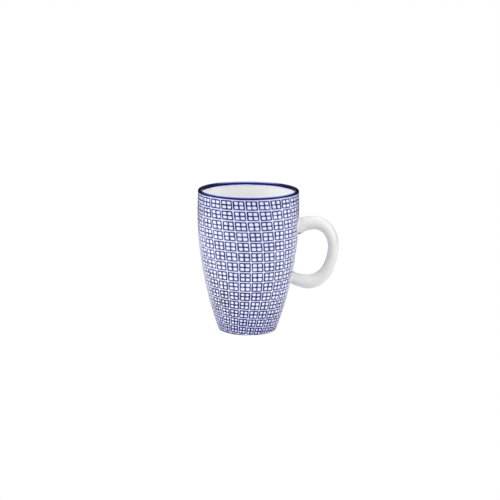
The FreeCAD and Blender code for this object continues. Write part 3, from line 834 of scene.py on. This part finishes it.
def stray_stroke(handle):
    """A scrap of one printed line that ran over onto the handle's upper root.  It starts
    upward, turns outward and narrows to both ends."""
    tree = BVHTree.FromObject(handle, bpy.context.evaluated_depsgraph_get())
    columns, rows = 14, 5
    points, normals = [], []
    for step in range(columns):
        share = step / (columns - 1)
        half = STROKE_HALF * math.sin(math.pi * (0.10 + 0.84 * share)) ** 0.7
        heading = math.radians(95 - 85 * min(1, 1.6 * share))
        x = STROKE_FROM[0] + STROKE_RUN[0] * share ** 1.6
        z = STROKE_FROM[1] + STROKE_RUN[1] * (1 - (1 - share) ** 2.5)
        for level in range(rows):
            off = half * (2 * level / (rows - 1) - 1)
            place = Vector((x - off * math.sin(heading), -100, z + off * math.cos(heading))) * MM
            hit, normal, _, _ = tree.ray_cast(place, Vector((0, 1, 0)))
            points.append(np.array(hit) / MM)
            normals.append(np.array(normal))
    points, normals = np.array(points), np.array(normals)
    index = np.arange(columns * rows).reshape(columns, rows)
    quads = np.stack([index[:-1, :-1], index[1:, :-1], index[1:, 1:], index[:-1, 1:]], -1)
    layers = np.concatenate([points + 0.04 * normals, points - KEYED * normals])
    faces = closed_sheet(quads.reshape(-1, 4), columns * rows)
    piece = make_piece("print_stray_stroke", layers, faces)
    settle(piece, sharp=50)
    point_values(piece, "ink_depth_and_highlight", np.full(len(layers), 0.8))
    return piece


# ------------------------ materials

def new_material(name):
    """A material, its node tree, its shader and the surface point that its noises read."""
    material = bpy.data.materials.new(name)
    material.use_nodes = True
    tree = material.node_tree
    return material, tree, tree.nodes["Principled BSDF"], place_socket(tree)


def node(tree, kind, inputs=None, **settings):
    """Add a node, set its options, and fill its inputs with numbers or with sockets."""
    made = tree.nodes.new("ShaderNode" + kind)
    for name, setting in settings.items():
        setattr(made, name, setting)
    for name, given in (inputs or {}).items():
        if isinstance(given, bpy.types.NodeSocket):
            tree.links.new(given, made.inputs[name])
        else:
            made.inputs[name].default_value = given
    return made


def math_node(tree, operation, first, second, clamp=False):
    return node(tree, "Math", {0: first, 1: second}, operation=operation, use_clamp=clamp).outputs[0]


def times(tree, first, second, clamp=False):
    return math_node(tree, "MULTIPLY", first, second, clamp)


def feed(tree, shader, socket, source):
    tree.links.new(source, shader.inputs[socket])


def stored(tree, name):
    """A number stored in the mesh under this name."""
    return node(tree, "Attribute", attribute_name=name).outputs["Fac"]


def axis(tree, vector, letter):
    return node(tree, "SeparateXYZ", {"Vector": vector}).outputs[letter]


def place_socket(tree, stretch=(1, 1, 1)):
    """The surface point in the mug's own frame, with each axis stretched for the noise."""
    spot = node(tree, "TexCoord").outputs["Object"]
    return node(tree, "Mapping", {"Vector": spot, "Scale": stretch}).outputs[0]


def noise(tree, spot, scale, detail=3, rough=0.55):
    inputs = {"Vector": spot, "Scale": scale, "Detail": detail, "Roughness": rough}
    return node(tree, "TexNoise", inputs).outputs["Fac"]


def span(tree, fac, low, high, from_low=0.3, from_high=0.7):
    """Map one range onto another, and hold to it: by default, the middle of a noise."""
    inputs = {"Value": fac, "From Min": from_low, "From Max": from_high, "To Min": low, "To Max": high}
    return node(tree, "MapRange", inputs).outputs[0]


def blend(tree, fac, first, second):
    """Mix two colours, given as linear colours or sockets."""
    return node(tree, "Mix", {0: fac, 6: first, 7: second}, data_type="RGBA").outputs[2]


def rgb(red, green, blue):
    """A linear colour from screen values out of 255."""
    linear = []
    for level in (red, green, blue):
        share = level / 255
        linear.append(share / 12.92 if share <= 0.04045 else ((share + 0.055) / 1.055) ** 2.4)
    return (*linear, 1)


RIPPLE = 0.018  # depth of the gloss's orange peel, in mm


def gloss(tree, shader, spot, low=0.05, high=0.11, level=0.5):
    """The glaze's gloss: a slightly uneven shine over a faint orange-peel ripple."""
    patches = noise(tree, spot, 90, 2)
    feed(tree, shader, "Roughness", span(tree, patches, low, high))
    peel = noise(tree, spot, 260, 2, 0.4)
    fine = noise(tree, spot, 1500, 1)
    height = math_node(tree, "ADD", peel, times(tree, fine, 0.12))
    bump = node(tree, "Bump", {"Height": height, "Strength": 1, "Distance": RIPPLE * MM})
    feed(tree, shader, "Normal", bump.outputs[0])
    shader.inputs["IOR"].default_value = 1.52
    shader.inputs["Specular IOR Level"].default_value = level


def specks(tree, spot, scale, size, share):
    """A mask of sparse round specks: cells of which only a few carry one."""
    cells = node(tree, "TexVoronoi", {"Vector": spot, "Scale": scale}, feature="F1")
    near = span(tree, cells.outputs["Distance"], 1, 0, size * 0.5, size)
    pick = node(tree, "SeparateColor", {"Color": cells.outputs["Color"]}).outputs[0]
    chosen = math_node(tree, "LESS_THAN", pick, share)
    return times(tree, near, chosen, clamp=True)


def white_glaze(name, pale, deep, bleed=0):
    """Clear gloss over white clay: two near whites in soft clouds and a rare speck.  Where
    it bleeds, the lip band's blue has run a few millimetres down into it."""
    material, tree, shader, spot = new_material(name)
    clouds = span(tree, noise(tree, spot, 45, 3), 0, 1)
    colour = blend(tree, clouds, rgb(*pale), rgb(*deep))
    dots = specks(tree, spot, 190, 0.045, 0.05)
    colour = blend(tree, times(tree, dots, 0.3), colour, rgb(150, 140, 125))
    if bleed:
        height = axis(tree, spot, "Z")
        near = span(tree, height, 0, bleed, (BAND_INSIDE - 2.5) * MM, (BAND_INSIDE + 0.5) * MM)
        colour = blend(tree, near, colour, rgb(196, 208, 255))
    feed(tree, shader, "Base Color", colour)
    gloss(tree, shader, spot, 0.08, 0.15, level=0.3)
    return material


def ink_material():
    """Cobalt ink under gloss: greyer and darker high on the wall, bluer near the foot,
    with grain, a patchy load of ink and its own depth for each window.  The stored depth also
    carries a painted highlight: paler ink high up beside the handle."""
    material, tree, shader, spot = new_material("window_ink")
    depth = stored(tree, "ink_depth_and_highlight")
    height = axis(tree, spot, "Z")
    low = span(tree, height, 1, 0, 0, 0.075)
    dark = blend(tree, low, rgb(28, 28, 86), rgb(4, 3, 76))
    light = blend(tree, low, rgb(68, 68, 134), rgb(26, 23, 130))
    patch = span(tree, noise(tree, spot, 420, 3), -0.25, 0.35)
    grain = span(tree, noise(tree, spot, 2600, 2), -0.18, 0.18)
    load = math_node(tree, "ADD", patch, grain)
    load = math_node(tree, "ADD", load, math_node(tree, "SUBTRACT", 0.85, depth), clamp=True)
    feed(tree, shader, "Base Color", blend(tree, load, dark, light))
    gloss(tree, shader, spot, 0.07, 0.14)
    return material


def near_lines(tree, places, edges):
    """A mask round the whole numbers of two coordinates, with each one's soft edge."""
    masks = []
    for place, edge in zip(places, edges):
        masks.append(span(tree, math_node(tree, "PINGPONG", place, 0.5), 1, 0, *edge))
    return math_node(tree, "MAXIMUM", *masks)


def wash_material():
    """White glaze washed with lavender between the windows and faintly along the lines,
    where the colour has bled while firing."""
    material, tree, shader, spot = new_material("window_wash")
    column = stored(tree, "print_column")
    row = stored(tree, "print_row")
    wander = span(tree, noise(tree, spot, 700, 2), -0.014, 0.014)
    places = [math_node(tree, "ADD", place, wander) for place in (column, row)]
    gap = near_lines(tree, places, ((0.05, 0.085), (0.07, 0.11)))
    places = [times(tree, place, 2) for place in (column, row)]
    halo = near_lines(tree, places, ((0.12, 0.3), (0.14, 0.32)))
    cloud = span(tree, noise(tree, spot, 160, 3), 0.75, 1)
    height = axis(tree, spot, "Z")
    # the panes get darker towards the foot, a painted shade near the floor, and bluer at the very foot
    low = span(tree, height, 1, 0, 0.01, 0.08)
    white = blend(tree, low, rgb(230, 232, 252), rgb(242, 243, 255))
    white = blend(tree, span(tree, height, 1, 0, 0.004, 0.026), white, rgb(226, 231, 255))
    pane = blend(tree, times(tree, halo, 0.7), white, rgb(202, 205, 250))
    tint = blend(tree, noise(tree, spot, 60, 2), rgb(212, 215, 251), rgb(222, 225, 253))
    mask = times(tree, gap, cloud, clamp=True)
    feed(tree, shader, "Base Color", blend(tree, mask, pane, tint))
    gloss(tree, shader, spot)
    return material


def band_material():
    """Dark cobalt banding with streaks along the brush's way, painted darkest at the cup's
    sides, a painted shade.  The top of the lip is painted paler, a painted highlight: over a
    wide strip at the back and a narrow one in front."""
    material, tree, shader, spot = new_material("cobalt_banding")
    streaks = noise(tree, place_socket(tree, (1, 1, 9)), 130, 4, 0.6)
    thin = span(tree, streaks, 0, 1, 0.35, 0.75)
    dark = blend(tree, noise(tree, spot, 40, 2), rgb(12, 13, 60), rgb(20, 21, 84))
    full = stored(tree, "side_depth_and_shade")
    thin = math_node(tree, "ADD", thin, 0.15, clamp=True)
    colour = blend(tree, thin, dark, rgb(50, 52, 138))
    # painted shade: the band darker towards the cup's two sides, by the side weight in full
    colour = blend(tree, times(tree, full, 0.95), colour, rgb(0, 0, 24))
    # painted highlight: the top of the lip painted paler, wide at the back, narrow in front, less at
    # the sides
    normal = node(tree, "TexCoord").outputs["Normal"]
    upward = axis(tree, normal, "Z")
    along = axis(tree, spot, "Y")
    behind = times(tree, span(tree, upward, 0, 1, 0.3, 0.75),
                   span(tree, full, 1, 0, 0.02, 0.3))
    behind = times(tree, behind, span(tree, along, 0, 1, -0.02, 0.02))
    before = times(tree, span(tree, upward, 0, 0.9, 0.55, 0.88),
                   span(tree, full, 1, 0, 0.2, 0.8))
    before = times(tree, before, span(tree, along, 1, 0, -0.02, 0.02))
    crest_highlight = math_node(tree, "ADD", behind, before, clamp=True)
    feed(tree, shader, "Base Color", blend(tree, crest_highlight, colour, rgb(172, 178, 219)))
    gloss(tree, shader, spot, 0.1, 0.2, level=0.02)
    return material


def clay_material(name, pale, deep):
    """Unglazed fired clay: matt, fine-grained, with a few sandy specks."""
    material, tree, shader, spot = new_material(name)
    grain = noise(tree, spot, 1800, 4, 0.7)
    clouds = noise(tree, spot, 120, 3)
    colour = blend(tree, span(tree, clouds, 0, 1), rgb(*pale), rgb(*deep))
    dots = specks(tree, spot, 700, 0.16, 0.14)
    colour = blend(tree, times(tree, dots, 0.45), colour, rgb(132, 116, 98))
    feed(tree, shader, "Base Color", colour)
    feed(tree, shader, "Roughness", span(tree, grain, 0.62, 0.86))
    bump = node(tree, "Bump", {"Height": grain, "Strength": 0.8, "Distance": 0.06 * MM})
    feed(tree, shader, "Normal", bump.outputs[0])
    return material


def dress(piece, material, slot, *nodes):
    """Give a piece its material and hide the CAD nodes that it stands for; slot is not used."""
    piece.data.materials.clear()
    piece.data.materials.append(material)
    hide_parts(*nodes)


def repaint(node_name, material):
    """Give a CAD node that keeps its own mesh a better material."""
    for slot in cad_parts[node_name].material_slots:
        slot.material = material


def build_mug():
    glaze = white_glaze("white_gloss", (225, 225, 223), (220, 220, 219))
    # the liner is the same white glaze painted lighter: painted light on the cup's inside
    liner = white_glaze("liner_gloss_painted_light", (243, 243, 242), (238, 239, 240), bleed=0.45)
    clay = clay_material("bare_clay", (226, 219, 206), (212, 203, 188))
    slip = clay_material("bare_slip", (222, 214, 200), (208, 199, 184))
    ink = ink_material()
    handle = glazed_handle()
    dress(handle, glaze, "white_glaze", "handle_glaze")
    dress(clay_cup(), clay, "fired_clay", "cup_body")
    dress(glazed_wall(), glaze, "white_glaze", "outer_glaze")
    dress(glazed_liner(), liner, "white_glaze", "liner_glaze")
    dress(glazed_base(), glaze, "white_glaze", "base_glaze")
    dress(print_wash(), wash_material(), "blue_print", "window_print")
    dress(print_ink(), ink, "blue_print", "window_print")
    dress(stray_stroke(handle), ink, "blue_print", "window_print")
    dress(cobalt_lip(), band_material(), "cobalt_band", "rim_band")
    repaint("handle", clay)
    repaint("upper_slip_joint", slip)
    repaint("lower_slip_joint", slip)


# ------------------------ stage

ROOM_LEVEL = 0.24  # how bright the dim room round the mug is
PAPER_EDGE = 0.32  # how far from the mug the paper's white begins to fall off
AIM = (0, 0, 0.06)  # where every soft box points


def seen_white(tree):
    """Share of a ray that sees the stage as plain white: the camera's own, no others."""
    return node(tree, "LightPath").outputs["Is Camera Ray"]


def build_floor():
    """A wide pale floor: pure white to look at.  To the glaze over it, it is a sheet of
    white paper round the mug on a dark table."""
    mesh = bpy.data.meshes.new("floor")
    mesh.from_pydata([(-20, -20, 0), (20, -20, 0), (20, 20, 0), (-20, 20, 0)], [], [(0, 1, 2, 3)])
    floor = add_object("floor", mesh)
    material, tree, shader, spot = new_material("pale_floor")
    paper = blend(tree, noise(tree, spot, 3, 2), rgb(238, 238, 238), rgb(233, 233, 234))
    oval = place_socket(tree, (0.6, 1.2, 1))
    reach = node(tree, "VectorMath", {0: oval}, operation="LENGTH").outputs["Value"]
    beyond = span(tree, reach, 0, 1, PAPER_EDGE, 2 * PAPER_EDGE)
    feed(tree, shader, "Base Color", blend(tree, beyond, paper, rgb(66, 66, 68)))
    shader.inputs["Roughness"].default_value = 0.9
    shader.inputs["Specular IOR Level"].default_value = 0.1
    white = node(tree, "Emission", {"Color": (1, 1, 1, 1), "Strength": 1}).outputs[0]
    mixed = node(tree, "MixShader", {0: seen_white(tree), 1: shader.outputs[0], 2: white})
    tree.links.new(mixed.outputs[0], tree.nodes["Material Output"].inputs["Surface"])
    mesh.materials.append(material)


def area_light(name, place, size, power):
    light = bpy.data.lights.new(name, "AREA")
    light.shape = "RECTANGLE"
    light.size, light.size_y = size
    light.energy = power
    lamp = add_object(name, light)
    lamp.location = place
    aim = Vector(AIM) - Vector(place)
    lamp.rotation_euler = aim.to_track_quat("-Z", "Y").to_euler()


def build_light():
    """A dim room, darker towards the horizon, with a large soft box high in front, one
    overhead, one high behind and one at each side."""
    world = bpy.data.worlds.new("studio_room")
    world.use_nodes = True
    tree = world.node_tree
    way = node(tree, "TexCoord").outputs["Generated"]
    up = axis(tree, way, "Z")
    room = span(tree, up, 0.1 * ROOM_LEVEL, ROOM_LEVEL, 0.05, 0.7)
    strength = span(tree, seen_white(tree), room, 1, 0, 1)
    tree.links.new(strength, tree.nodes["Background"].inputs["Strength"])
    tree.nodes["Background"].inputs["Color"].default_value = (1, 1, 1, 1)
    bpy.context.scene.world = world
    area_light("front_box", (-0.35, -1.1, 1.35), (1.1, 0.9), 14.2)
    area_light("overhead", (0.1, 0.2, 1.9), (1.6, 1.6), 12.2)
    area_light("back_box", (0, 1.3, 1), (1.6, 0.7), 4.5)
    area_light("left_panel", (-1.05, -0.3, 0.6), (0.9, 1), 9.1)
    area_light("right_panel", (1.05, -0.3, 0.6), (0.9, 1), 9.3)


def build_camera():
    """A long lens a little above the rim's level, square to the handle's plane."""
    distance, raised, aim_z = 1.5, math.radians(11.78), HEIGHT / 2 * MM
    lens = bpy.data.cameras.new("camera")
    lens.lens, lens.sensor_width = 128.3, 36
    lens.shift_x, lens.shift_y = 0.0042, 0.0194
    lens.clip_start, lens.clip_end = 0.05, 100
    camera = add_object("camera", lens)
    back = Vector((0, -math.cos(raised), math.sin(raised)))
    camera.location = Vector((0, 0, aim_z)) + distance * back
    turn = (-back).to_track_quat("-Z", "Y").to_matrix()
    camera.rotation_mode = "QUATERNION"
    roll = math.radians(0.5)
    camera.rotation_quaternion = turn.to_quaternion() @ Quaternion((0, 0, 1), roll)
    bpy.context.scene.camera = camera


build_mug()
build_floor()
build_light()
build_camera()
bpy.context.scene.view_settings.view_transform = "Standard"
